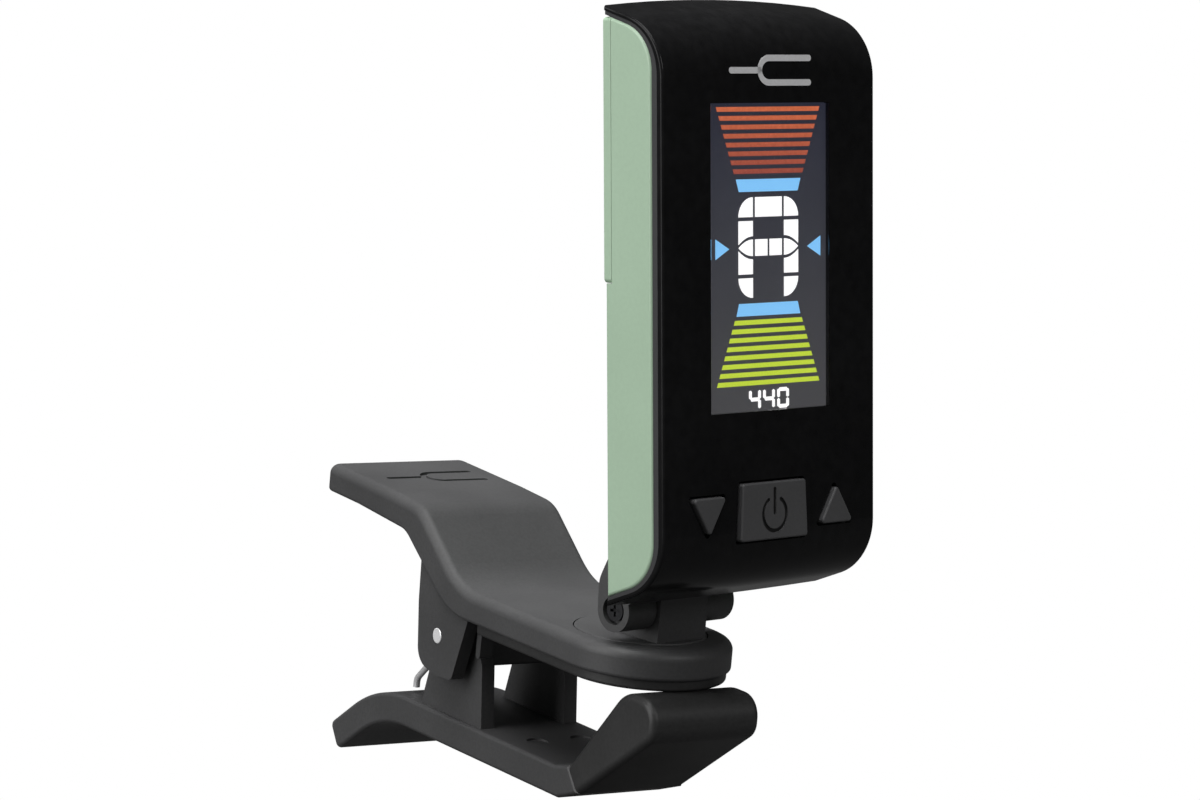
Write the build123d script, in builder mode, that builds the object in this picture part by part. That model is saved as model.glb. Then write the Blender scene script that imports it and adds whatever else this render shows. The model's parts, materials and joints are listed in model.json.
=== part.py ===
from build123d import *
from math import cos, radians, sin
import os

# Clip-on tuner for stringed instruments, millimetres.
# +Z is up, +X is across the clip, the jaws face -Y and the finger plates face +Y.
# The origin is the middle of the upper jaw pad's gripping face.
# Rest pose: jaws closed, display upright and turned a little to one side.

# ---------------------------------------------------------------- attitude
LEAN = 7.5           # slope of the clip, rising towards the finger plates, degrees
TURN = 11.2          # turn of the display head on its swivel, degrees

# ---------------------------------------------------------------- clip, in the clip's own frame
GRIP_Y = -7.3        # where the jaws meet, from the centre of the lever's round end
PLATE = 3.0          # upper lever thickness
PAD = 1.0            # upper jaw pad thickness
LEVER_R = 8.4        # round end of the upper lever, and half its width
LEVER_END = 48.6     # rear edge of the finger plate
FINGER_Z = 7.5       # top of the finger plate at its rear edge
CHEEK_IN = 6.45      # cheeks of the upper lever, inner and outer faces
CHEEK_OUT = 7.9
PIN_Y = 25.3         # clamp pin
PIN_Z = -5.8
PIN_R = 0.8
PIN_PLAY = 0.06      # radial running clearance of the jaw's ears on the pin
EAR_IN = 4.25        # ears of the lower jaw, inner and outer faces
EAR_OUT = 5.75
JAW_HALF = 6.3       # half width of the lower jaw
FLOOR_Z = -14.1      # top of the lower jaw's floor
FLOOR_T = 3.1        # thickness of the lower jaw

# ---------------------------------------------------------------- swivel, about the lever's normal
SWIVEL_Y = 1.2       # swivel axis, from the centre of the lever's round end
DISC_R = 6.5
DISC_T = 1.25
DISC_PROUD = 0.1
STEM_R = 2.2
POST_HALF = 3.3      # half width of the post that carries the hinge
HINGE_Y = -3.13      # tilt hinge, from the swivel axis
POST_FRONT = -5.5
HINGE_Z = 3.2
KNUCKLE_R = 2.1
BRACKET_HALF = 7.3
HINGE_R = 0.85       # hinge screw
HINGE_PLAY = 0.05

# ---------------------------------------------------------------- display head, from the hinge axis
HALF_W = 14.6
BACK = -6.4
FRONT = -13.85
TOP = 58.1           # top and bottom edges, in the middle of the head's width
BOTTOM = 1.4
SLOPE = 0.32         # rise of the sloping top and fall of the sloping bottom, per mm of depth
SHOULDER_R = 6.0
TOP_BOW = 165.0      # radii that the top and bottom edges bow out by, seen from the front
BOTTOM_BOW = 600.0
SHELL_T = 0.7        # glossy front shell, at its front and at its edges
SHELL_EDGE = 0.45
BAND_T = 0.75        # matt middle frame round the housing, at its front and at its edges
BAND_EDGE = 0.4
WALL = 1.2           # housing walls
DOOR_Z = 31.7        # lower edge of the battery door
DOOR_PROUD = 0.25
LENS_HALF = 8.15
LENS_Z0 = 19.5
LENS_Z1 = 48.3
BOARD_Y = -10.75     # rear face of the circuit board
BOARD_T = 0.5
BATTERY_Z = 44.6
BATTERY_R = 10.0
BATTERY_T = 3.2
BUTTON_PROUD = 0.45
BUTTON_Z = 10.0      # middle of the row of buttons
ARROW_X = 8.8        # middle of each arrow button, from the power button
POST_X = 11.6        # screw posts of the middle frame
POST_Z = (16.0, 50.0)
BRACKET_SCREW = (5.2, 8.2)

os.makedirs("parts", exist_ok=True)


def side(base, x=0.0):
    """Plane whose sketch axes are the base frame's Y and Z, at a distance across it."""
    return Plane(base.location * Plane.YZ.offset(x).location)


def facing(base, y=0.0):
    """Plane whose sketch axes are the base frame's X and Z, drawn on the face towards -Y."""
    return Plane(base.location * Plane.XZ.offset(-y).location)


def above(base, z=0.0):
    """Plane whose sketch axes are the base frame's X and Y, at a height in it."""
    return Plane(base.location * Plane.XY.offset(z).location)


def save(piece, name):
    piece.part.label = name
    export_step(piece.part, f"parts/{name}.step")


lean = radians(LEAN)
grip_to_end = (GRIP_Y, -PLATE - PAD)
clip = Plane(
    origin=(
        0,
        -(grip_to_end[0] * cos(lean) - grip_to_end[1] * sin(lean)),
        -(grip_to_end[0] * sin(lean) + grip_to_end[1] * cos(lean)),
    ),
    x_dir=(1, 0, 0),
    z_dir=(0, -sin(lean), cos(lean)),
)
swivel = Plane(clip.location * Location((0, SWIVEL_Y, 0), (0, 0, TURN)))
head = Plane(swivel.location * Location((0, HINGE_Y, HINGE_Z), (-LEAN, 0, 0)))

# ================================================================ upper lever
with BuildPart() as upper_lever:
    # S-shaped plate: flat over the jaws, then up to the finger plate
    with BuildSketch(side(clip)):
        with BuildLine():
            FilletPolyline(
                [
                    (-LEVER_R, 0), (21.4, 0), (29.9, 6.6), (36.0, 7.0),
                    (LEVER_END, FINGER_Z), (LEVER_END, 4.6), (42.0, 4.35),
                    (32.4, 3.6), (23.0, -PLATE), (-LEVER_R, -PLATE),
                ],
                radius=[0, 9, 4.5, 9, 0, 0, 9, 3.5, 9, 0],
                close=True,
            )
        make_face()
    extrude(amount=LEVER_R, both=True)
    with BuildSketch(above(clip, -3 * FINGER_Z)):
        Circle(LEVER_R)
        with Locations((0, LEVER_END / 2)):
            Rectangle(2 * LEVER_R, LEVER_END)
        fillet(vertices().group_by(Axis.Y)[-1], 1.2)
    extrude(amount=6 * FINGER_Z, mode=Mode.INTERSECT)
    # rounded rim, wider on top than below
    for up, rounding in ((1, 1.0), (-1, 0.4)):
        skins = faces().filter_by(lambda face: up * face.normal_at().dot(clip.z_dir) > 0.4)
        rims = skins.edges().filter_by(Axis(clip.origin, clip.x_dir), reverse=True)
        rear_edge = skins.edges().group_by(Axis(clip.origin, clip.y_dir))[-1]
        fillet(rims + (rear_edge - rims), rounding)
    # cheeks that carry the clamp pin
    for x in (-CHEEK_OUT, CHEEK_IN):
        with BuildSketch(side(clip, x)):
            with BuildLine():
                FilletPolyline(
                    [
                        (19.4, -1.6), (22.1, -9.7), (25.6, -9.8), (28.6, -9.1),
                        (29.3, -3.0), (29.5, 3.4),
                    ],
                    radius=[0, 0.8, 3, 2.2, 6, 0],
                    close=True,
                )
            make_face()
        extrude(amount=CHEEK_OUT - CHEEK_IN)
    # stop beside the front of each cheek, and a guard in front of the spring
    for x, width, front, thickness, low in (
        (-CHEEK_IN - 0.1, 1.5, 19.1, 0.9, -6.9),
        (CHEEK_IN - 1.4, 1.5, 19.1, 0.9, -6.9),
        (0.3 - EAR_IN, 2 * EAR_IN - 0.6, 21.3, 1.2, -8.3),
    ):
        with BuildSketch(side(clip, x)):
            with BuildLine():
                FilletPolyline(
                    [
                        (front, -PLATE + 0.6), (front + 0.15, low),
                        (front + thickness, low), (front + thickness, 0),
                    ],
                    radius=[0, 0.35, 0.35, 0],
                    close=True,
                )
            make_face()
        extrude(amount=width)
    with BuildSketch(side(clip)):
        with Locations((PIN_Y, PIN_Z)):
            Circle(PIN_R)
    extrude(amount=LEVER_R, both=True, mode=Mode.SUBTRACT)
    # seat for the swivel: disc recess, bore for its stem, washer recess below
    with BuildSketch(above(clip)):
        with Locations((0, SWIVEL_Y)):
            Circle(DISC_R + 0.12)
    extrude(amount=-DISC_T - 0.05, mode=Mode.SUBTRACT)
    with BuildSketch(above(clip)):
        with Locations((0, SWIVEL_Y)):
            Circle(STEM_R + 0.06)
    extrude(amount=-PLATE, mode=Mode.SUBTRACT)
    with BuildSketch(above(clip, -PLATE)):
        with Locations((0, SWIVEL_Y)):
            Circle(3.9)
    extrude(amount=0.95, mode=Mode.SUBTRACT)
    # tuning-fork emblem sunk into the finger plate
    with BuildSketch(above(clip, FINGER_Z + 1)):
        with Locations((-3.3, 41.0)):
            SlotOverall(4.6, 0.7)
        with Locations((3.1, 39.3), (3.1, 42.7)):
            SlotOverall(5.2, 0.7)
        with BuildLine():
            prong_root = ThreePointArc((0.8, 42.7), (-0.9, 41.0), (0.8, 39.3))
            offset(prong_root, amount=0.35)
        make_face()
    extrude(amount=-1.5, mode=Mode.SUBTRACT)
save(upper_lever, "upper_lever")

# ================================================================ upper jaw pad
with BuildPart() as upper_jaw_pad:
    with BuildSketch(above(clip, -PLATE - PAD)):
        Circle(LEVER_R - 0.4)
        with Locations((0, 9.3)):
            Rectangle(2 * (LEVER_R - 0.4), 18.6)
        fillet(vertices().group_by(Axis.Y)[-1], 1.0)
    extrude(amount=PAD)
    fillet(faces().sort_by(Axis(clip.origin, clip.z_dir))[0].edges(), 0.3)
save(upper_jaw_pad, "upper_jaw_pad")

# ================================================================ lower jaw
with BuildPart() as lower_jaw:
    # floor and down-turned tail
    with BuildSketch(side(clip)):
        with BuildLine():
            FilletPolyline(
                [
                    (2.4, -13.5), (4.9, FLOOR_Z), (38.5, FLOOR_Z), (47.3, -20.3),
                    (45.5, -22.85), (37.4, FLOOR_Z - FLOOR_T), (4.0, FLOOR_Z - FLOOR_T),
                    (0.4, -15.9),
                ],
                radius=[0, 2, 18, 0.7, 0.7, 15, 0.8, 0],
                close=True,
            )
        make_face()
    extrude(amount=JAW_HALF, both=True)
    fillet(edges().filter_by(Axis(clip.origin, clip.x_dir), reverse=True), 0.4)
    # tongue that the rubber nose is moulded on
    with BuildSketch(side(clip)):
        with BuildLine():
            FilletPolyline(
                [(2.0, -14.2), (-4.6, -7.4), (-8.2, -6.4), (-8.4, -7.6), (-6.4, -8.9), (1.0, -15.3)],
                radius=[0, 2, 0.5, 0.5, 2, 0],
                close=True,
            )
        make_face()
    extrude(amount=JAW_HALF - 1.4, both=True)
    # ears that turn on the clamp pin
    for x in (-EAR_OUT, EAR_IN):
        with BuildSketch(side(clip, x)):
            with BuildLine():
                FilletPolyline(
                    [
                        (18.95, -15.2), (19.85, -7.8), (22.2, -3.6), (28.0, -3.4),
                        (29.5, -10.2), (30.9, -15.2),
                    ],
                    radius=[0, 0.8, 1.6, 2.3, 4, 0],
                    close=True,
                )
            make_face()
        extrude(amount=EAR_OUT - EAR_IN)
    with BuildSketch(side(clip)):
        with Locations((PIN_Y, PIN_Z)):
            Circle(PIN_R + PIN_PLAY)
    extrude(amount=JAW_HALF, both=True, mode=Mode.SUBTRACT)
    # ejector marks in the floor
    with BuildSketch(above(clip, FLOOR_Z)):
        with Locations((-2.6, 13.5), (2.6, 13.5)):
            Circle(1.1)
    extrude(amount=-0.2, mode=Mode.SUBTRACT)
save(lower_jaw, "lower_jaw")

# ================================================================ lower jaw pad
with BuildPart() as lower_jaw_pad:
    with BuildSketch(side(clip)):
        with BuildLine():
            FilletPolyline(
                [
                    (2.4, -13.5), (-5.8, -PLATE - PAD - 0.05), (-11.1, -PLATE - PAD - 0.05),
                    (-11.1, -7.75), (0.4, -15.9),
                ],
                radius=[0, 4, 2.3, 1.8, 0],
                close=True,
            )
        make_face()
    extrude(amount=JAW_HALF, both=True)
    pad_ends = faces().filter_by(GeomType.PLANE).group_by(Axis(clip.origin, clip.x_dir))
    rounded = ShapeList(pad_ends[0].edges() + pad_ends[-1].edges()).sort_by(Axis.Y)[:-2]
    fillet(rounded, 0.7)
    add(lower_jaw.part, mode=Mode.SUBTRACT)
save(lower_jaw_pad, "lower_jaw_pad")

# ================================================================ clamp pin and spring
with BuildPart() as clamp_pin:
    with BuildSketch(side(clip)):
        with Locations((PIN_Y, PIN_Z)):
            Circle(PIN_R)
    extrude(amount=CHEEK_OUT + 0.05, both=True)
    fillet(edges(), 0.12)
save(clamp_pin, "clamp_pin")

SPRING_R = 2.05       # outside of the spring's coils
SPRING_WIRE = 0.7
SPRING_X = 3.85       # outer end of each coil
with BuildPart() as torsion_spring:
    # two coils, side by side
    for x in (-SPRING_X, 1.1):
        with BuildSketch(side(clip, x)):
            with Locations((PIN_Y, PIN_Z)):
                Circle(SPRING_R)
                Circle(SPRING_R - SPRING_WIRE, mode=Mode.SUBTRACT)
        extrude(amount=SPRING_X - 1.1)
    # outer legs, down to the lower jaw's floor
    for x in (-SPRING_X + SPRING_WIRE / 2, SPRING_X - SPRING_WIRE / 2):
        with BuildSketch(side(clip, x - SPRING_WIRE / 2)):
            with BuildLine():
                FilletPolyline(
                    [(26.22, -4.81), (26.7, -4.3), (36.2, -13.2), (35.75, -13.7)],
                    radius=[0, 0, 0.25, 0.25],
                    close=True,
                )
            make_face()
        extrude(amount=SPRING_WIRE)
    # middle loop, up to the upper lever
    with BuildSketch(side(clip, -1.45)):
        with BuildLine():
            FilletPolyline(
                [(26.4, -7.0), (27.1, -6.3), (29.3, 0.2), (28.6, 0.5)],
                radius=[0, 0, 0.2, 0.2],
                close=True,
            )
        make_face()
    extrude(amount=2.9)
save(torsion_spring, "torsion_spring")

# ================================================================ swivel
with BuildPart() as swivel_base:
    with BuildSketch(above(swivel, -DISC_T)):
        Circle(DISC_R)
    extrude(amount=DISC_T + DISC_PROUD)
    fillet(edges().sort_by(Axis(swivel.origin, swivel.z_dir))[-1], 0.2)
    # post with a flat front, and a low foot behind it
    with BuildSketch(side(swivel)):
        with BuildLine():
            FilletPolyline(
                [
                    (POST_FRONT, 0), (POST_FRONT, HINGE_Z + 1.9), (HINGE_Y, HINGE_Z + KNUCKLE_R),
                    (HINGE_Y, 1.5), (-0.2, 1.3), (-0.2, 0),
                ],
                radius=[0, 0.6, 0, 0, 0.4, 0],
                close=True,
            )
        make_face()
        with Locations((HINGE_Y, HINGE_Z)):
            Circle(KNUCKLE_R)
        with Locations((HINGE_Y, HINGE_Z / 2)):
            Rectangle(2 * KNUCKLE_R - 0.6, HINGE_Z)
    extrude(amount=POST_HALF, both=True)
    with BuildSketch(side(swivel)):
        with Locations((HINGE_Y, HINGE_Z)):
            Circle(HINGE_R + HINGE_PLAY)
    extrude(amount=POST_HALF, both=True, mode=Mode.SUBTRACT)
    # stem through the lever, with the screw's hole
    with BuildSketch(above(swivel, -DISC_T)):
        Circle(STEM_R)
    extrude(amount=-0.8)
    with BuildSketch(above(swivel, -DISC_T - 0.8)):
        Circle(0.8)
    extrude(amount=2.0, mode=Mode.SUBTRACT)
save(swivel_base, "swivel_base")

with BuildPart() as swivel_washer:
    with BuildSketch(above(swivel, -2.35)):
        Circle(3.6)
        Circle(0.9, mode=Mode.SUBTRACT)
    extrude(amount=0.27)
save(swivel_washer, "swivel_washer")

with BuildPart() as swivel_screw:
    with BuildSketch(above(swivel, -2.9)):
        Circle(1.7)
    extrude(amount=0.53)
    with BuildSketch(above(swivel, -2.4)):
        Circle(0.78)
    extrude(amount=2.1)
    with BuildSketch(above(swivel, -2.9)):
        Rectangle(1.8, 0.4)
        Rectangle(0.4, 1.8)
    extrude(amount=0.3, mode=Mode.SUBTRACT)
save(swivel_screw, "swivel_screw")

# ================================================================ tilt hinge
with BuildPart() as hinge_bracket:
    # arms that rise from the knuckles to the back of the head
    with BuildSketch(side(head)):
        Circle(KNUCKLE_R)
        with BuildLine():
            FilletPolyline(
                [(-1.9, 0.6), (2.08, 0.2), (1.9, 2.9), (0.4, 5.4), (BACK, 11.6), (BACK, 3.2)],
                radius=[0, 0, 3, 6, 0, 0],
                close=True,
            )
        make_face()
    extrude(amount=BRACKET_HALF, both=True)
    # room for the post, all the way from folded flat to tilted forwards
    with BuildSketch(side(head)):
        Circle(3.3)
        with Locations((4.0, -1.35)):
            Rectangle(13.0, 7.5)
    extrude(amount=POST_HALF + 0.2, both=True, mode=Mode.SUBTRACT)
    # the hinge screw's bore, its head's recess and the nut's pocket
    with BuildSketch(side(head)):
        Circle(HINGE_R)
    extrude(amount=BRACKET_HALF, both=True, mode=Mode.SUBTRACT)
    with BuildSketch(side(head, -BRACKET_HALF)):
        Circle(1.4)
    extrude(amount=0.9, mode=Mode.SUBTRACT)
    with BuildSketch(side(head, BRACKET_HALF)):
        RegularPolygon(1.55, 6)
    extrude(amount=-1.1, mode=Mode.SUBTRACT)
    # pilot holes for the screws that hold the bracket to the rear housing
    with BuildSketch(facing(head, BACK)):
        with GridLocations(2 * BRACKET_SCREW[0], 0, 2, 1):
            with Locations((0, BRACKET_SCREW[1])):
                Circle(0.5)
    extrude(amount=-2.4, mode=Mode.SUBTRACT)
save(hinge_bracket, "hinge_bracket")

with BuildPart() as hinge_screw:
    with BuildSketch(side(head, -BRACKET_HALF + 0.2)):
        Circle(HINGE_R)
    extrude(amount=2 * BRACKET_HALF - 0.5)
    with BuildSketch(side(head, -BRACKET_HALF + 0.2)):
        Circle(1.05)
    extrude(amount=0.7)
    with BuildSketch(side(head, -BRACKET_HALF + 0.2)):
        Rectangle(1.2, 0.28)
        Rectangle(0.28, 1.2)
    extrude(amount=0.3, mode=Mode.SUBTRACT)
save(hinge_screw, "hinge_screw")

with BuildPart() as hinge_nut:
    with BuildSketch(side(head, BRACKET_HALF - 0.2)):
        RegularPolygon(1.5, 6)
        Circle(HINGE_R, mode=Mode.SUBTRACT)
    extrude(amount=-0.9)
save(hinge_nut, "hinge_nut")

with BuildPart() as hinge_washers:
    for x in (-POST_HALF - 0.17, POST_HALF + 0.03):
        with BuildSketch(side(head, x)):
            Circle(KNUCKLE_R - 0.2)
            Circle(HINGE_R + HINGE_PLAY, mode=Mode.SUBTRACT)
        extrude(amount=0.14)
save(hinge_washers, "hinge_washers")


# ================================================================ display head
MID_Z = (TOP + BOTTOM) / 2
SHELL_BACK = FRONT + SHELL_T              # rear of the front shell, front of the middle frame
BAND_BACK = SHELL_BACK + BAND_T           # rear of the middle frame
DOOR_IN = BACK - 0.8                      # inner face of the battery door
POSTS = [(x, z) for x in (-POST_X, POST_X) for z in POST_Z]


def head_half(front_inset, edge_inset, half_width, up):
    """Upper (up = 1) or lower (up = -1) half of the head's solid inside its outer surface."""
    edge, bow = (TOP, TOP_BOW) if up > 0 else (BOTTOM, BOTTOM_BOW)
    front = FRONT + front_inset
    rim = edge - up * edge_inset
    corner = rim - up * SLOPE * (BACK - front)
    bow_centre = head.from_local_coords(Vector(0, 0, edge - up * bow))
    with BuildPart() as half:
        with BuildSketch(side(head)):
            with BuildLine():
                FilletPolyline(
                    [(BACK, rim), (front, corner), (front, MID_Z - up), (BACK, MID_Z - up)],
                    radius=[0, SHOULDER_R - front_inset, 0, 0],
                    close=True,
                )
            make_face()
        revolve(axis=Axis(bow_centre, head.y_dir))
        with BuildSketch(facing(head, FRONT - 1)):
            with Locations((0, MID_Z + up * TOP / 2)):
                Rectangle(2 * half_width, TOP)
        extrude(amount=FRONT - 1, mode=Mode.INTERSECT)
    return half.part


def head_form(front_inset, edge_inset, half_width):
    """Solid inside the head's outer surface by insets at its front and at its edges: upright
    front and back, sloping shoulders, and top and bottom edges that bow out in the middle."""
    with BuildPart() as form:
        add(head_half(front_inset, edge_inset, half_width, 1))
        add(head_half(front_inset, edge_inset, half_width, -1))
    return form.part


def button_face(name, spare):
    """Outline of a button in the front plane, grown by a clearance."""
    outlines = {
        "power": ([(-4.35, 2.75), (4.35, 2.75), (4.65, -2.7), (-4.65, -2.7)], 0),
        "down": ([(-2.3, 1.75), (2.3, 1.75), (0, -1.9)], -ARROW_X),
        "up": ([(-2.3, -1.75), (2.3, -1.75), (0, 1.9)], ARROW_X),
    }
    corners, x = outlines[name]
    with BuildSketch() as face:
        with Locations((x, BUTTON_Z)):
            Polygon(*corners, align=None)
        if spare:
            offset(amount=spare, kind=Kind.INTERSECTION)
        fillet(face.vertices(), 0.3)
    return face.sketch


BUTTONS = ("power", "down", "up")
outer_form = head_form(0, 0, HALF_W)
shell_cavity = head_form(SHELL_T, SHELL_EDGE, HALF_W + 1)
band_form = head_form(SHELL_T, SHELL_EDGE, HALF_W - 0.12)
band_cavity = head_form(SHELL_T + BAND_T, SHELL_EDGE + BAND_EDGE, HALF_W + 1)
housing_form = head_form(SHELL_T + BAND_T, SHELL_EDGE + BAND_EDGE, HALF_W)
housing_cavity = head_form(
    SHELL_T + BAND_T + 0.1, SHELL_EDGE + BAND_EDGE + WALL - 0.1, HALF_W - WALL
)
shell_holes = [button_face(name, 0.22) for name in BUTTONS]
band_holes = [button_face(name, 0.15) for name in BUTTONS]

with BuildPart() as front_shell:
    add(outer_form)
    side_rims = faces().filter_by(GeomType.PLANE).group_by(Axis(head.origin, head.x_dir))
    outer_rims = side_rims[0].edges() + side_rims[-1].edges()
    back_uprights = outer_rims.group_by(Axis(head.origin, head.y_dir))[-1]
    fillet(outer_rims - back_uprights, 0.25)
    add(shell_cavity, mode=Mode.SUBTRACT)
    with BuildSketch(facing(head, FRONT - 1)):
        with Locations((0, (LENS_Z0 + LENS_Z1) / 2)):
            Rectangle(2 * LENS_HALF + 0.1, LENS_Z1 - LENS_Z0 + 0.1)
        add(shell_holes)
    extrude(amount=-SHELL_T - 1.1, mode=Mode.SUBTRACT)
save(front_shell, "front_shell")

with BuildPart() as mid_frame:
    add(band_form)
    add(band_cavity, mode=Mode.SUBTRACT)
    with BuildSketch(facing(head, SHELL_BACK - 0.1)):
        with Locations((0, (LENS_Z0 + LENS_Z1) / 2)):
            Rectangle(2 * LENS_HALF + 1.8, LENS_Z1 - LENS_Z0 + 1.8)
        add(band_holes)
    extrude(amount=-BAND_T - 0.2, mode=Mode.SUBTRACT)
    # posts that take the housing screws
    with BuildSketch(facing(head, BAND_BACK - 0.1)):
        with Locations(POSTS):
            Circle(1.3)
    extrude(amount=BAND_BACK - 0.1 - (BACK - WALL))
    with BuildSketch(facing(head, BACK - WALL)):
        with Locations(POSTS):
            Circle(0.5)
    extrude(amount=4.0, mode=Mode.SUBTRACT)
save(mid_frame, "mid_frame")

with BuildPart() as rear_housing:
    add(housing_form)
    side_rims = faces().filter_by(GeomType.PLANE).group_by(Axis(head.origin, head.x_dir))
    fillet(side_rims[0].edges() + side_rims[-1].edges(), 0.3)
    # hollow, open at the front
    add(housing_cavity.moved(Location(head.y_dir * -WALL)), mode=Mode.SUBTRACT)
    # full-width step for the battery door, with a round well for the battery
    with BuildSketch(facing(head, DOOR_IN - 0.05)):
        with Locations((0, DOOR_Z + TOP / 2)):
            Rectangle(4 * HALF_W, TOP)
    extrude(amount=-2.0, mode=Mode.SUBTRACT)
    with BuildSketch(facing(head, BACK - WALL - 0.5)):
        with Locations((0, BATTERY_Z)):
            Circle(BATTERY_R + 0.4)
        with Locations((-8, DOOR_Z + 2.0), (8, DOOR_Z + 2.0)):
            Rectangle(4.4, 3.6)
        with Locations(POSTS):
            Circle(1.2)
        with Locations((-BRACKET_SCREW[0], BRACKET_SCREW[1]), BRACKET_SCREW):
            Circle(0.5)
    extrude(amount=-3.0, mode=Mode.SUBTRACT)
save(rear_housing, "rear_housing")

with BuildPart() as battery_door:
    door_top = TOP - SHELL_EDGE - BAND_EDGE - 0.25
    door_end = door_top - HALF_W**2 / (2 * TOP_BOW)
    with BuildSketch(facing(head, BACK + DOOR_PROUD)):
        with BuildLine():
            Polyline(
                (-HALF_W, door_end), (-HALF_W, DOOR_Z + 0.05),
                (HALF_W, DOOR_Z + 0.05), (HALF_W, door_end),
            )
            ThreePointArc((HALF_W, door_end), (0, door_top), (-HALF_W, door_end))
        make_face()
        fillet(vertices(), 0.4)
    extrude(amount=BACK + DOOR_PROUD - DOOR_IN)
    fillet(faces().sort_by(Axis(head.origin, head.y_dir))[-1].edges(), 0.2)
    # finger grooves near the top edge
    with BuildSketch(facing(head, BACK + DOOR_PROUD)):
        with GridLocations(0, 1.4, 1, 4):
            with Locations((0, 51.4)):
                SlotOverall(9.0, 0.7)
    extrude(amount=0.3, mode=Mode.SUBTRACT)
    # hooks that catch behind the housing's wall at the lower edge
    for x in (-8, 8):
        with BuildSketch(side(head, x - 1.9)):
            with BuildLine():
                Polyline(
                    (DOOR_IN + 0.1, 32.1), (DOOR_IN + 0.1, 33.2), (-8.45, 33.2), (-8.45, 30.6),
                    (-7.75, 30.6), (-7.75, 32.1), close=True,
                )
            make_face()
        extrude(amount=3.8)
save(battery_door, "battery_door")

# ---------------------------------------------------------------- screen
with BuildPart() as display_lens:
    with BuildSketch(facing(head, SHELL_BACK + 0.03)):
        with Locations((0, (LENS_Z0 + LENS_Z1) / 2)):
            Rectangle(2 * LENS_HALF, LENS_Z1 - LENS_Z0)
    extrude(amount=SHELL_T + 0.03)
save(display_lens, "display_lens")

PANEL_HALF = LENS_HALF + 0.7
PANEL_H = LENS_Z1 - LENS_Z0 + 1.4
with BuildPart() as lcd_panel:
    with BuildSketch(facing(head, -12.3)):
        with Locations((0, (LENS_Z0 + LENS_Z1) / 2)):
            Rectangle(2 * PANEL_HALF, PANEL_H)
    extrude(amount=0.7)
save(lcd_panel, "lcd_panel")

with BuildPart() as backlight:
    with BuildSketch(facing(head, -11.4)):
        with Locations((0, (LENS_Z0 + LENS_Z1) / 2 + 0.9)):
            Rectangle(2 * PANEL_HALF, PANEL_H - 1.8)
    extrude(amount=0.85)
save(backlight, "backlight")

with BuildPart() as lcd_connector:
    with BuildSketch(facing(head, BOARD_Y - BOARD_T)):
        with Locations((0, LENS_Z0)):
            Rectangle(15.6, 1.3)
    extrude(amount=1.0)
save(lcd_connector, "lcd_connector")

# ---------------------------------------------------------------- electronics
with BuildPart() as circuit_board:
    with BuildSketch(facing(head, BOARD_Y)):
        with Locations((0, 28.4)):
            RectangleRounded(26.0, 42.8, 1.0)
        with Locations(POSTS):
            Circle(1.6, mode=Mode.SUBTRACT)
    extrude(amount=BOARD_T)
save(circuit_board, "circuit_board")

with BuildPart() as tuner_chip:
    with BuildSketch(facing(head, BOARD_Y + 0.8)):
        with Locations((1.0, 28.0)):
            Rectangle(6.0, 6.0)
    extrude(amount=0.8)
    chamfer(faces().sort_by(Axis(head.origin, head.y_dir))[-1].edges(), 0.15)
save(tuner_chip, "tuner_chip")

with BuildPart() as button_switches:
    with BuildSketch(facing(head, BOARD_Y - BOARD_T)):
        with Locations((-ARROW_X, BUTTON_Z), (0, BUTTON_Z), (ARROW_X, BUTTON_Z)):
            RectangleRounded(2.8, 2.8, 0.4)
    extrude(amount=0.13)
    with BuildSketch(facing(head, BOARD_Y - BOARD_T - 0.13)):
        with Locations((-ARROW_X, BUTTON_Z), (0, BUTTON_Z), (ARROW_X, BUTTON_Z)):
            Circle(0.8)
    extrude(amount=0.1)
save(button_switches, "button_switches")

with BuildPart() as piezo_sensor:
    with BuildSketch(facing(head, BACK - WALL)):
        with Locations((0, 21)):
            Circle(6.0)
    extrude(amount=0.2)
    with BuildSketch(facing(head, BACK - WALL - 0.2)):
        with Locations((0, 21)):
            Circle(4.2)
    extrude(amount=0.15)
save(piezo_sensor, "piezo_sensor")

with BuildPart() as coin_battery:
    battery_back = DOOR_IN - 0.12
    with BuildSketch(facing(head, battery_back)):
        with Locations((0, BATTERY_Z)):
            Circle(BATTERY_R)
    extrude(amount=BATTERY_T - 0.2)
    with BuildSketch(facing(head, battery_back - BATTERY_T + 0.2)):
        with Locations((0, BATTERY_Z)):
            Circle(BATTERY_R - 1.2)
    extrude(amount=0.2)
    fillet(edges().sort_by(Axis(head.origin, head.y_dir))[-1], 0.3)
save(coin_battery, "coin_battery")

with BuildPart() as negative_contact:
    with BuildSketch(facing(head, BOARD_Y + 0.15)):
        with Locations((0, BATTERY_Z - 4)):
            SlotOverall(11.0, 3.0, rotation=90)
    extrude(amount=0.15)
save(negative_contact, "negative_contact")

with BuildPart() as positive_contact:
    with BuildSketch(facing(head, -8.4)):
        with Locations((0, BATTERY_Z - BATTERY_R - 0.25)):
            Rectangle(5.0, 0.2)
    extrude(amount=-8.4 - BOARD_Y)
save(positive_contact, "positive_contact")

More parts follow.
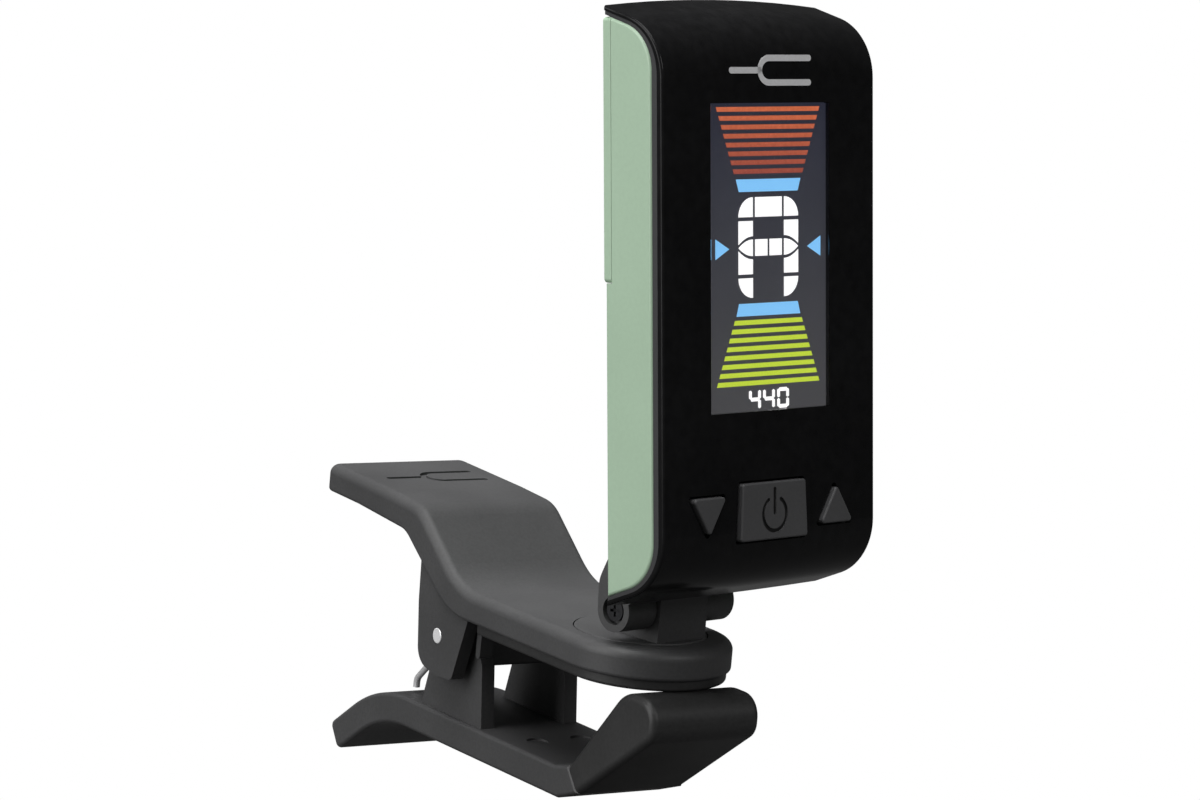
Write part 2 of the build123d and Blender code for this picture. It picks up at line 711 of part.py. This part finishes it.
with BuildPart() as housing_screws:
    for z, head_y in ((POST_Z[0], BACK - 0.1), (POST_Z[1], DOOR_IN - 0.1)):
        with BuildSketch(facing(head, head_y)):
            with Locations((-POST_X, z), (POST_X, z)):
                Circle(1.05)
        extrude(amount=head_y - (BACK - WALL))
        with BuildSketch(facing(head, BACK - WALL)):
            with Locations((-POST_X, z), (POST_X, z)):
                Circle(0.5)
        extrude(amount=3.6)
    with BuildSketch(facing(head, BACK)):
        for x, z in POSTS:
            with Locations((x, z)):
                Rectangle(1.3, 0.28)
                Rectangle(0.28, 1.3)
    extrude(amount=0.25, mode=Mode.SUBTRACT)
    with BuildSketch(facing(head, DOOR_IN)):
        with Locations((-POST_X, POST_Z[1]), (POST_X, POST_Z[1])):
            Rectangle(1.3, 0.28)
    extrude(amount=0.25, mode=Mode.SUBTRACT)
save(housing_screws, "housing_screws")

with BuildPart() as bracket_screws:
    with BuildSketch(facing(head, BACK - WALL)):
        with Locations((-BRACKET_SCREW[0], BRACKET_SCREW[1]), BRACKET_SCREW):
            Circle(1.0)
    extrude(amount=0.5)
    with BuildSketch(facing(head, BACK - WALL)):
        with Locations((-BRACKET_SCREW[0], BRACKET_SCREW[1]), BRACKET_SCREW):
            Circle(0.5)
    extrude(amount=-WALL - 2.2)
save(bracket_screws, "bracket_screws")

# ---------------------------------------------------------------- buttons
FLANGE_Y = BAND_BACK + 0.15
for name in BUTTONS:
    cap_outline = button_face(name, 0)
    flange_outline = button_face(name, 0.35)
    with BuildPart() as button:
        with BuildSketch(facing(head, FLANGE_Y)):
            add(cap_outline)
        extrude(amount=FLANGE_Y - FRONT + BUTTON_PROUD)
        fillet(faces().sort_by(Axis(head.origin, head.y_dir))[0].edges(), 0.18)
        with BuildSketch(facing(head, FLANGE_Y + 0.35)):
            add(flange_outline)
        extrude(amount=0.35)
        if name == "power":
            # sunk power symbol
            with BuildSketch(facing(head, FRONT - BUTTON_PROUD)):
                with BuildLine():
                    ring = CenterArc((0, BUTTON_Z - 0.3), 1.6, 122, 296)
                    offset(ring, amount=0.19)
                make_face()
                with Locations((0, BUTTON_Z + 0.9)):
                    SlotOverall(2.7, 0.4, rotation=90)
            extrude(amount=-0.15, mode=Mode.SUBTRACT)
    save(button, f"{name}_button")
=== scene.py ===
import json
import math

import bmesh
import bpy
from mathutils import Matrix, Vector


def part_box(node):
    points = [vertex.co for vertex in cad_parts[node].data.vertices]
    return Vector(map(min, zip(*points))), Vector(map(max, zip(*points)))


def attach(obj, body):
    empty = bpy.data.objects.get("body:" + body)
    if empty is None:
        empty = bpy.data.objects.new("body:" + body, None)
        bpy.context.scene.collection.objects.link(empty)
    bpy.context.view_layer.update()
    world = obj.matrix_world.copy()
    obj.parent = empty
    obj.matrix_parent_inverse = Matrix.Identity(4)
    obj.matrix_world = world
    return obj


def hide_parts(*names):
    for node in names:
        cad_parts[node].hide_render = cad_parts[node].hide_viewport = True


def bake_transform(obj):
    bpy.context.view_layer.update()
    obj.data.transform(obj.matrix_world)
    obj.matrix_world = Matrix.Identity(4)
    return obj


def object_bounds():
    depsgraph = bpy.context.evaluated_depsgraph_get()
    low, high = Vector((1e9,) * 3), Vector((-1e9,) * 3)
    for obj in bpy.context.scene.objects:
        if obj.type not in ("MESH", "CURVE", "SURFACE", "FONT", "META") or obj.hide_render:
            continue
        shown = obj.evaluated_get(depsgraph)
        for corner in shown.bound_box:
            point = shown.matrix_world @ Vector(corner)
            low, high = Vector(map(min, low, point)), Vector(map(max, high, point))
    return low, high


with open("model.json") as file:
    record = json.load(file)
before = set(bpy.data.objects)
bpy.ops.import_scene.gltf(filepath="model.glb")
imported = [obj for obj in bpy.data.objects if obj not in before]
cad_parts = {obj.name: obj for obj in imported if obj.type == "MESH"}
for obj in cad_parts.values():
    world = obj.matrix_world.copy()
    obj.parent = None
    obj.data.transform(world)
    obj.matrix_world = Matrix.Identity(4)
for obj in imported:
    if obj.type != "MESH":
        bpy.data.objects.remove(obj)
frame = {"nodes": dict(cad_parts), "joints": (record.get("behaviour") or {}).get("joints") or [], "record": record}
cad_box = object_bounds()

MM = 0.001
JOINTS = {joint["name"]: joint for joint in frame["joints"]}
scene = bpy.context.scene
scene.view_settings.view_transform = "Standard"


# ---------------------------------------------------------------- places
def axes(origin, x, y):
    """Matrix from a place's own axes to the row frame."""
    x, y = Vector(x).normalized(), Vector(y).normalized()
    matrix = Matrix((x, y, x.cross(y))).transposed().to_4x4()
    matrix.translation = origin
    return matrix


def extent(node, place):
    """Lowest and highest corner of a CAD node in a place's own axes."""
    back = place.inverted()
    points = [back @ v.co for v in frame["nodes"][node].data.vertices]
    return [Vector([pick(p[i] for p in points) for i in range(3)]) for pick in (min, max)]


# head: x across the screen, y towards its back, z up. pin: x along the pin, z off the lever.
HEAD = axes(
    JOINTS["head_tilt"]["pos_m"], JOINTS["head_tilt"]["axis"], JOINTS["power_press"]["axis"]
)
PIN_X = Vector(JOINTS["clamp"]["axis"])
PIN = axes(
    JOINTS["clamp"]["pos_m"], PIN_X, Vector(JOINTS["head_swivel"]["axis"]).cross(PIN_X)
)


# ---------------------------------------------------------------- materials
def noise(tree, scale, detail=3.0, stretch=(1, 1, 1)):
    """Noise in the piece's own space, with scale in waves per metre."""
    links, nodes = tree.links, tree.nodes
    where = nodes.new("ShaderNodeTexCoord")
    mapping = nodes.new("ShaderNodeMapping")
    mapping.inputs["Scale"].default_value = stretch
    texture = nodes.new("ShaderNodeTexNoise")
    texture.inputs["Scale"].default_value = scale
    texture.inputs["Detail"].default_value = detail
    links.new(where.outputs["Object"], mapping.inputs["Vector"])
    links.new(mapping.outputs["Vector"], texture.inputs["Vector"])
    return texture.outputs["Fac"]


def spread(tree, value, low, high, start=0.3, end=0.7):
    """Maps a noise value onto a range."""
    node = tree.nodes.new("ShaderNodeMapRange")
    node.inputs["From Min"].default_value = start
    node.inputs["From Max"].default_value = end
    node.inputs["To Min"].default_value = low
    node.inputs["To Max"].default_value = high
    tree.links.new(value, node.inputs["Value"])
    return node.outputs["Result"]


def shade(tree, factor, dark, light):
    """Blends two colours by a factor."""
    node = tree.nodes.new("ShaderNodeMix")
    node.data_type = "RGBA"
    node.inputs[6].default_value = (*dark, 1)
    node.inputs[7].default_value = (*light, 1)
    tree.links.new(factor, node.inputs[0])
    return node.outputs[2]


def surface(
    name, colour, vary=0.12, rough=(0.4, 0.5), grain=3000, bump=0.1, height=0.02,
    patch=70, stretch=(1, 1, 1), **sockets,
):
    """Moulded or metal surface: fine grain with bump, and slow changes of shade and gloss."""
    material = bpy.data.materials.new(name)
    material.use_nodes = True
    tree = material.node_tree
    shader = tree.nodes["Principled BSDF"]
    fine = noise(tree, grain, 4.0, stretch)
    slow = noise(tree, patch, 2.0)
    mixed = tree.nodes.new("ShaderNodeMath")
    mixed.operation = "MULTIPLY"
    tree.links.new(fine, mixed.inputs[0])
    tree.links.new(slow, mixed.inputs[1])
    tone = spread(tree, mixed.outputs[0], 0.0, 1.0, 0.12, 0.38)
    dark = [c * (1 - vary) for c in colour]
    light = [min(1.0, c * (1 + vary)) for c in colour]
    tree.links.new(shade(tree, tone, dark, light), shader.inputs["Base Color"])
    tree.links.new(spread(tree, slow, *rough), shader.inputs["Roughness"])
    relief = tree.nodes.new("ShaderNodeBump")
    relief.inputs["Strength"].default_value = bump
    relief.inputs["Distance"].default_value = height * MM
    tree.links.new(fine, relief.inputs["Height"])
    tree.links.new(relief.outputs["Normal"], shader.inputs["Normal"])
    for socket, value in sockets.items():
        shader.inputs[socket.replace("_", " ")].default_value = value
    return material


def lit(name, colour, glow, strength, vary=0.06, grain=9000, fade=None):
    """Lit liquid-crystal figure, with the faint mottle of its cells, dimmer towards its bottom."""
    material = surface(name, colour, vary, (0.35, 0.45), grain, 0.02)
    tree = material.node_tree
    shader = tree.nodes["Principled BSDF"]
    mottle = spread(tree, noise(tree, grain, 1.0), 0.0, 1.0)
    low = [c * (1 - vary) for c in glow]
    figure = shade(tree, mottle, low, glow)
    if fade:
        where = tree.nodes.new("ShaderNodeTexCoord")
        parts = tree.nodes.new("ShaderNodeSeparateXYZ")
        tree.links.new(where.outputs["Object"], parts.inputs["Vector"])
        dim = tree.nodes.new("ShaderNodeMix")
        dim.data_type = "RGBA"
        dim.blend_type = "MULTIPLY"
        dim.inputs[0].default_value = 1.0
        tree.links.new(figure, dim.inputs[6])
        rise = spread(tree, parts.outputs["Z"], 0.0, 1.0, *fade)
        tree.links.new(shade(tree, rise, (0.62, 0.7, 0.75), (1.35, 1.6, 1.0)), dim.inputs[7])
        figure = dim.outputs[2]
    tree.links.new(figure, shader.inputs["Emission Color"])
    shader.inputs["Emission Strength"].default_value = strength
    return material


MATERIALS = {
    "gloss_black_plastic": surface(
        "gloss_black_plastic", (0.007, 0.007, 0.0073), 0.25, (0.16, 0.22), 900, 0.02, 0.01,
        Specular_IOR_Level=0.3, IOR=1.3,
    ),
    "matte_black_plastic": surface(
        "matte_black_plastic", (0.022, 0.022, 0.024), 0.15, (0.5, 0.6), 4000, 0.25
    ),
    "green_plastic": surface(
        "green_plastic", (0.33, 0.455, 0.33), 0.03, (0.34, 0.42), 2600, 0.06
    ),
    "clip_plastic": surface(
        "clip_plastic", (0.045, 0.045, 0.046), 0.14, (0.48, 0.6), 3600, 0.3, 0.03
    ),
    "pad_rubber": surface("pad_rubber", (0.02, 0.02, 0.02), 0.2, (0.42, 0.55), 2400, 0.2),
    "button_rubber": surface("button_rubber", (0.06, 0.06, 0.062), 0.1, (0.5, 0.6), 4200, 0.2),
    "clear_lens": surface(
        "clear_lens", (0.97, 0.97, 0.97), 0.01, (0.02, 0.04), 500, 0.005, 0.005,
        Transmission_Weight=1.0, IOR=1.18, Specular_IOR_Level=0.3,
    ),
    "white_diffuser": surface("white_diffuser", (0.8, 0.8, 0.78), 0.04, (0.5, 0.6)),
    "board_laminate": surface("board_laminate", (0.02, 0.15, 0.06), 0.2, (0.3, 0.4), 1500),
    "chip_epoxy": surface("chip_epoxy", (0.02, 0.02, 0.02), 0.2, (0.6, 0.7), 5000, 0.3),
    "connector_silicone": surface(
        "connector_silicone", (0.5, 0.2, 0.22), 0.2, (0.5, 0.6), 6000, stretch=(4, 1, 0.1)
    ),
    "polished_steel": surface(
        "polished_steel", (0.9, 0.9, 0.91), 0.04, (0.3, 0.38), 2500, 0.04, Metallic=0.4
    ),
    "spring_steel": surface(
        "spring_steel", (0.82, 0.82, 0.83), 0.05, (0.3, 0.4), 3500, 0.1, Metallic=0.6
    ),
    "black_steel": surface(
        "black_steel", (0.035, 0.035, 0.038), 0.2, (0.3, 0.42), 2500, 0.12, Metallic=0.6
    ),
    "battery_steel": surface(
        "battery_steel", (0.6, 0.6, 0.6), 0.05, (0.25, 0.35), 1800, 0.06, Metallic=1.0
    ),
    "sensor_brass": surface(
        "sensor_brass", (0.75, 0.55, 0.25), 0.1, (0.3, 0.4), 1500, 0.1, Metallic=1.0
    ),
}


def panel_material():
    """Dark liquid-crystal panel, lifted a little by its backlight, with painted light on it: brighter and greyer
    at the bottom, darker and bluer at the top.
    """
    material = surface("lcd_glass", (0.02, 0.02, 0.026), 0.05, (0.3, 0.36), 8000, 0.02)
    tree = material.node_tree
    shader = tree.nodes["Principled BSDF"]
    low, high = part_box("display_lens")
    where = tree.nodes.new("ShaderNodeTexCoord")
    parts = tree.nodes.new("ShaderNodeSeparateXYZ")
    tree.links.new(where.outputs["Object"], parts.inputs["Vector"])
    rise = spread(tree, parts.outputs["Z"], 0.0, 1.0, low.z, high.z)
    # painted light: the panel's glow is brighter and greyer at the bottom, darker and bluer at the top
    glow = shade(tree, rise, (0.060, 0.060, 0.063), (0.020, 0.022, 0.036))
    tree.links.new(glow, shader.inputs["Emission Color"])
    shader.inputs["Emission Strength"].default_value = 1.0
    return material


MATERIALS["lcd_glass"] = panel_material()
for part in frame["record"]["subparts"]:
    mesh = frame["nodes"][part["node"]].data
    mesh.materials.clear()
    mesh.materials.append(MATERIALS[part["material_slot"]])
    mesh.shade_smooth()
    mesh.set_sharp_from_angle(angle=math.radians(32))


# ---------------------------------------------------------------- flat pieces
def finish_piece(obj, body, material):
    """Gives a new piece its material and body."""
    obj.data.materials.append(material)
    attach(obj, body)
    return obj


def new_object(name, bm, smooth=True):
    """Object in the scene from a bmesh."""
    bmesh.ops.recalc_face_normals(bm, faces=bm.faces)
    mesh = bpy.data.meshes.new(name)
    bm.to_mesh(mesh)
    bm.free()
    if smooth:
        mesh.shade_smooth()
        mesh.set_sharp_from_angle(angle=math.radians(35))
    obj = bpy.data.objects.new(name, mesh)
    scene.collection.objects.link(obj)
    return obj


def plates(name, outlines, back, front):
    """Thin plates with outlines of (x, z) in mm on the head, from one depth to another."""
    bm = bmesh.new()
    for outline in outlines:
        rings = [
            [bm.verts.new(HEAD @ Vector((x * MM, depth, z * MM))) for x, z in outline]
            for depth in (back, front)
        ]
        bm.faces.new(rings[0])
        bm.faces.new(rings[1])
        for i in range(len(outline)):
            j = (i + 1) % len(outline)
            bm.faces.new((rings[0][i], rings[0][j], rings[1][j], rings[1][i]))
    return new_object(name, bm, smooth=False)


def arc(cx, cz, rx, rz, start, end, steps=10):
    """Points on an ellipse, angles in degrees, anticlockwise from +x."""
    angles = [math.radians(start + (end - start) * i / steps) for i in range(steps + 1)]
    return [(cx + rx * math.cos(a), cz + rz * math.sin(a)) for a in angles]


def mirrored(outline):
    """The same outline on the other side of the head's middle."""
    return [(-x, z) for x, z in reversed(outline)]


def ribbon(points, half):
    """Outline of a stroke of one width along a line of points, with round ends."""
    left, right = [], []
    for i, (x, z) in enumerate(points):
        x0, z0 = points[max(i - 1, 0)]
        x1, z1 = points[min(i + 1, len(points) - 1)]
        run = math.hypot(x1 - x0, z1 - z0)
        nx, nz = -(z1 - z0) / run * half, (x1 - x0) / run * half
        left.append((x + nx, z + nz))
        right.append((x - nx, z - nz))
    caps = []
    for end, before in ((points[-1], points[-2]), (points[0], points[1])):
        heading = math.degrees(math.atan2(end[1] - before[1], end[0] - before[0]))
        caps.append(arc(*end, half, half, heading + 90, heading - 90, 8)[1:-1])
    return left + caps[0] + right[::-1] + caps[1]


# ---------------------------------------------------------------- screen figures
screen_low, screen_high = extent("display_lens", HEAD)
panel_front = extent("lcd_panel", HEAD)[0].y
FIGURE_BACK = panel_front - 0.02 * MM
FIGURE_FRONT = panel_front - 0.06 * MM
SCREEN_TOP = screen_high.z / MM


def taper(top, bottom, width_top, width_bottom):
    """Symmetric four-sided figure, with depths measured down from the screen's top."""
    return [
        (-width_top / 2, SCREEN_TOP - top), (width_top / 2, SCREEN_TOP - top),
        (width_bottom / 2, SCREEN_TOP - bottom), (-width_bottom / 2, SCREEN_TOP - bottom),
    ]


def scale_bars(first, pitch, width_first, width_last, count=8, thick=0.44):
    """Row of bars whose ends follow one slanting line on each side."""
    grow = (width_last - width_first) / (pitch * (count - 1))
    bars = []
    for i in range(count):
        middle = first + pitch * i
        ends = [width_first + grow * (pitch * i + side * thick / 2) for side in (-1, 1)]
        bars.append(taper(middle - thick / 2, middle + thick / 2, *ends))
    return bars


# note letter on a segment display: corners, columns, and a pointed middle bar
LETTER_TOP = SCREEN_TOP - 8.76
HALF, INNER, TALL, MIDDLE = 4.12, 2.16, 9.44, 4.74
CAP, GAP = 1.86, 0.36


def bulge(share, spare):
    """Half height of the middle bar's pointed end."""
    return 0.78 * (1 - share**2) + spare


def letter():
    steps = [i / 8 for i in range(9)]

    def curve(sign, spare):
        return [
            (-INNER - (HALF - INNER) * s, LETTER_TOP - MIDDLE + sign * bulge(s, spare))
            for s in steps
        ]

    top_corner = arc(-INNER, LETTER_TOP - CAP, HALF - INNER, CAP, 90, 180)
    low_z = LETTER_TOP - TALL + CAP
    left = [
        top_corner + [(-INNER, LETTER_TOP - CAP)],
        [(-HALF, LETTER_TOP - CAP - GAP), (-INNER, LETTER_TOP - CAP - GAP)] + curve(1, 0.3),
        curve(1, 0.0) + curve(-1, 0.0)[-2::-1],
        [(-INNER, low_z + GAP), (-HALF, low_z + GAP)] + curve(-1, 0.3)[::-1],
        arc(-INNER, low_z, HALF - INNER, CAP, 180, 270) + [(-INNER, low_z)],
        [
            (-INNER + 0.32, LETTER_TOP - MIDDLE + 0.78), (-0.15, LETTER_TOP - MIDDLE + 0.78),
            (-0.15, LETTER_TOP - MIDDLE - 0.78), (-INNER + 0.32, LETTER_TOP - MIDDLE - 0.78),
        ],
    ]
    crown = [
        (-INNER + 0.32, LETTER_TOP), (INNER - 0.32, LETTER_TOP),
        (INNER - 0.32, LETTER_TOP - CAP), (-INNER + 0.32, LETTER_TOP - CAP),
    ]
    return left + [mirrored(o) for o in left] + [crown]


# pitch figures on seven-segment digits
DIGIT_W, DIGIT_H, STROKE = 1.62, 1.95, 0.36
SEGMENTS = {4: "fgbc", 0: "abcdef"}


def digit(value, x, top):
    """Lit segments of one digit, whose top left corner is given."""
    h, w, s, c = DIGIT_H, DIGIT_W, STROKE, 0.1
    g = 0.035

    def across(z):
        return [
            (x + s / 2 + g, z), (x + s / 2 + c + g, z + s / 2), (x + w - s / 2 - c - g, z + s / 2),
            (x + w - s / 2 - g, z), (x + w - s / 2 - c - g, z - s / 2), (x + s / 2 + c + g, z - s / 2),
        ]

    def upright(cx, high, low):
        return [
            (cx, high - g), (cx + s / 2, high - c - g), (cx + s / 2, low + c + g),
            (cx, low + g), (cx - s / 2, low + c + g), (cx - s / 2, high - c - g),
        ]

    left, right = x + s / 2, x + w - s / 2
    upper, middle, lower = top - s / 2 + 0.1, top - h / 2, top - h + s / 2 - 0.1
    shapes = {
        "a": across(top - s / 2), "g": across(middle), "d": across(top - h + s / 2),
        "f": upright(left, upper, middle), "b": upright(right, upper, middle),
        "e": upright(left, middle, lower), "c": upright(right, middle, lower),
    }
    return [shapes[name] for name in SEGMENTS[value]]


PITCH_TOP = SCREEN_TOP - 26.8
pitch_figures = [
    outline
    for value, x in ((4, -2.72), (4, -0.78), (0, 1.18))
    for outline in digit(value, x, PITCH_TOP)
]
ARROW_Z = SCREEN_TOP - 13.55
pointer = [(-7.25, ARROW_Z + 0.95), (-5.4, ARROW_Z), (-7.25, ARROW_Z - 0.95)]

FIGURES = {
    "screen_sharp_bars": (scale_bars(0.53, 0.83, 14.1, 9.6), "lit_red"),
    "screen_flat_bars": (scale_bars(20.5, 0.815, 9.4, 14.0), "lit_lime"),
    "screen_centre_marks": (
        [taper(7.07, 8.25, 8.9, 8.1), taper(18.72, 19.9, 8.1, 8.8), pointer, mirrored(pointer)],
        "lit_blue",
    ),
    "screen_note_letter": (letter(), "lit_white"),
    "screen_pitch_figures": (pitch_figures, "lit_white"),
}
lens_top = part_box("display_lens")[1].z
LIT = {
    "lit_red": lit(
        "lit_red", (0.1, 0.02, 0.02), (0.47, 0.095, 0.06), 1.0, 0.16, 2500,
        (lens_top - 7 * MM, lens_top),
    ),
    "lit_lime": lit("lit_lime", (0.1, 0.1, 0.02), (0.52, 0.68, 0.05), 1.0),
    "lit_blue": lit("lit_blue", (0.05, 0.1, 0.15), (0.22, 0.56, 0.95), 1.0),
    "lit_white": lit("lit_white", (0.3, 0.3, 0.3), (1.0, 1.0, 1.0), 1.05),
}
# the figures sit a little to one side of the lens's middle
FIGURE_SHIFT = 0.32
for name, (outlines, look) in FIGURES.items():
    outlines = [[(x + FIGURE_SHIFT, z) for x, z in outline] for outline in outlines]
    piece = plates(name, outlines, FIGURE_BACK, FIGURE_FRONT)
    finish_piece(piece, "head", LIT[look])

# ---------------------------------------------------------------- face emblem
shell_front = extent("front_shell", HEAD)[0].y
EMBLEM_Z = SCREEN_TOP + 3.1
prongs = (
    [(5.3, EMBLEM_Z + 1.15)]
    + arc(-0.2, EMBLEM_Z, 1.3, 1.15, 90, 270, 14)
    + [(5.3, EMBLEM_Z - 1.15)]
)
stem = [(-1.5, EMBLEM_Z), (-5.4, EMBLEM_Z)]
emblem = plates(
    "face_emblem", [ribbon(prongs, 0.3), ribbon(stem, 0.3)],
    shell_front + 0.02 * MM, shell_front - 0.02 * MM,
)
MATERIALS["silver_print"] = surface(
    "silver_print", (0.75, 0.75, 0.76), 0.08, (0.3, 0.4), 5000, 0.05, Metallic=0.2
)
finish_piece(emblem, "head", MATERIALS["silver_print"])

# ---------------------------------------------------------------- power symbol
button_low, button_high = extent("power_button", HEAD)
BUTTON_Z = (button_low.z + button_high.z) / 2 / MM
RECESS = button_low.y + 0.15 * MM
SYMBOL_HALF = 0.19
ring = arc(0, BUTTON_Z - 0.3, 1.6, 1.6, 122, 418, 32)
bar = [(0, BUTTON_Z - 0.2), (0, BUTTON_Z + 2.0)]
symbol = plates(
    "power_symbol", [ribbon(ring, SYMBOL_HALF), ribbon(bar, SYMBOL_HALF)],
    RECESS + 0.02 * MM, RECESS - 0.02 * MM,
)
# painted shade: a near-black sheet at the bottom of the debossed power symbol stands in for the shade in its
# groove
MATERIALS["symbol_painted_shade"] = surface("symbol_painted_shade", (0.004, 0.004, 0.004), 0.2, (0.4, 0.5), 5000)
finish_piece(symbol, "power_button", MATERIALS["symbol_painted_shade"])

# ---------------------------------------------------------------- clamp spring
WIRE = 0.35
COIL = 1.7
INNER_X, OUTER_X = 1.1, 3.48


def spring_half(side):
    """One half of the clamp spring's wire: half of the middle loop, a coil and an outer leg."""
    enter, leave = math.radians(-19.4), math.radians(46.9 - 3 * 360)
    loop_top = Vector((INNER_X, 3.85, 6.6))
    points = [Vector((0, 3.85, 6.6)), Vector((INNER_X - 0.55, 3.85, 6.6))]
    points.append(loop_top + Vector((-0.16, -0.05, -0.16)))
    points.append(loop_top + Vector((0, -0.2, -0.55)))
    turns = 96
    coil = []
    for i in range(turns + 1):
        share = i / turns
        angle = enter + (leave - enter) * share
        x = INNER_X + (OUTER_X - INNER_X) * share
        coil.append(Vector((x, COIL * math.cos(angle), COIL * math.sin(angle))))
    points += coil
    points += [
        Vector((OUTER_X, 5.69, -3.0)), Vector((OUTER_X, 9.7, -6.75)),
        Vector((OUTER_X, 9.93, -7.05)), Vector((OUTER_X, 10.0, -7.4)),
        Vector((OUTER_X, 10.0, -7.95)),
    ]
    curve = bpy.data.curves.new("wire", "CURVE")
    curve.dimensions = "3D"
    curve.bevel_depth = WIRE * MM
    curve.bevel_resolution = 3
    curve.use_fill_caps = True
    spline = curve.splines.new("POLY")
    spline.points.add(len(points) - 1)
    for point, place in zip(spline.points, points):
        local = Vector((place.x * side, place.y, place.z)) * MM
        point.co = (*(PIN @ local), 1)
    holder = bpy.data.objects.new("wire", curve)
    scene.collection.objects.link(holder)
    bpy.context.view_layer.update()
    mesh = bpy.data.meshes.new_from_object(holder.evaluated_get(bpy.context.evaluated_depsgraph_get()))
    bpy.data.objects.remove(holder)
    mesh.materials.clear()
    mesh.materials.append(MATERIALS["spring_steel"])
    mesh.shade_smooth()
    name = "spring_right" if side > 0 else "spring_left"
    obj = bpy.data.objects.new(name, mesh)
    scene.collection.objects.link(obj)
    return obj


for side in (-1, 1):
    half = spring_half(side)
    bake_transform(half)
    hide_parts("torsion_spring")

# ---------------------------------------------------------------- stage
low, high = cad_box
centre = (low + high) / 2
FLOOR_RADIUS = 0.42
# the open lower jaw reaches below the rest pose
FLOOR_DROP = 10 * MM
bm = bmesh.new()
bmesh.ops.create_circle(bm, cap_ends=True, segments=96, radius=FLOOR_RADIUS)
bmesh.ops.translate(bm, verts=bm.verts, vec=(centre.x, centre.y, low.z - FLOOR_DROP))
floor = new_object("floor", bm)


def floor_material():
    """Pale to the camera, and dark enough not to show in the glossy casing."""
    paper = surface(
        "floor_paper", (0.05, 0.05, 0.05), 0.01, (0.7, 0.8), 900, 0.02, Specular_IOR_Level=0.0
    )
    tree = paper.node_tree
    pale = tree.nodes.new("ShaderNodeEmission")
    pale.inputs["Color"].default_value = (1.0, 1.0, 1.0, 1)
    seen = tree.nodes.new("ShaderNodeLightPath")
    choice = tree.nodes.new("ShaderNodeMixShader")
    tree.links.new(seen.outputs["Is Camera Ray"], choice.inputs[0])
    tree.links.new(tree.nodes["Principled BSDF"].outputs[0], choice.inputs[1])
    tree.links.new(pale.outputs[0], choice.inputs[2])
    tree.links.new(choice.outputs[0], tree.nodes["Material Output"].inputs["Surface"])
    return paper


floor.data.materials.append(floor_material())


def softbox(name, size, azimuth, elevation, distance, power):
    """Square area light aimed at the object from a direction, azimuth 0 being -Y."""
    light = bpy.data.lights.new(name, "AREA")
    light.shape = "RECTANGLE"
    light.size, light.size_y = size
    light.energy = power
    lamp = bpy.data.objects.new(name, light)
    scene.collection.objects.link(lamp)
    a, e = math.radians(azimuth), math.radians(elevation)
    away = Vector((math.sin(a) * math.cos(e), -math.cos(a) * math.cos(e), math.sin(e)))
    lamp.location = centre + away * distance
    lamp.rotation_mode = "QUATERNION"
    lamp.rotation_quaternion = away.to_track_quat("Z", "Y")
    return lamp


softbox("top_light", (0.5, 0.5), -55, 66, 0.75, 4.6)
softbox("left_light", (0.5, 0.7), -95, 18, 0.8, 4.5)
softbox("rear_light", (0.6, 0.5), 165, 66, 0.8, 13.0).visible_glossy = False
softbox("front_light", (0.3, 0.3), 10, 25, 0.9, 1.6)


def studio_world():
    """Soft grey light, darker in mirrored rays, behind a white backdrop."""
    world = bpy.data.worlds.new("studio")
    world.use_nodes = True
    tree = world.node_tree

    def glow(level):
        node = tree.nodes.new("ShaderNodeBackground")
        node.inputs["Color"].default_value = (level, level, level, 1)
        return node.outputs[0]

    def choose(ray, no, yes):
        node = tree.nodes.new("ShaderNodeMixShader")
        tree.links.new(seen.outputs[ray], node.inputs[0])
        tree.links.new(no, node.inputs[1])
        tree.links.new(yes, node.inputs[2])
        return node.outputs[0]

    seen = tree.nodes.new("ShaderNodeLightPath")
    unseen = choose("Is Glossy Ray", glow(0.25), glow(0.03))
    shown = choose("Is Camera Ray", unseen, glow(1.0))
    tree.links.new(shown, tree.nodes["World Output"].inputs["Surface"])
    return world


scene.world = studio_world()

# ---------------------------------------------------------------- camera
CAMERA_AT = Vector((-0.24756, -0.35085, 0.05076))
CAMERA_AZIMUTH, CAMERA_ELEVATION, CAMERA_ROLL = 34.046, -3.071, -0.853
data = bpy.data.cameras.new("camera")
data.lens, data.sensor_width = 135, 36
data.clip_start = 0.01
camera = bpy.data.objects.new("camera", data)
scene.collection.objects.link(camera)
camera.matrix_world = (
    Matrix.Translation(CAMERA_AT)
    @ Matrix.Rotation(math.radians(-CAMERA_AZIMUTH), 4, "Z")
    @ Matrix.Rotation(math.radians(90 + CAMERA_ELEVATION), 4, "X")
    @ Matrix.Rotation(math.radians(-CAMERA_ROLL), 4, "Z")
)
scene.camera = camera

# ---------------------------------------------------------------- final update
bpy.context.view_layer.update()
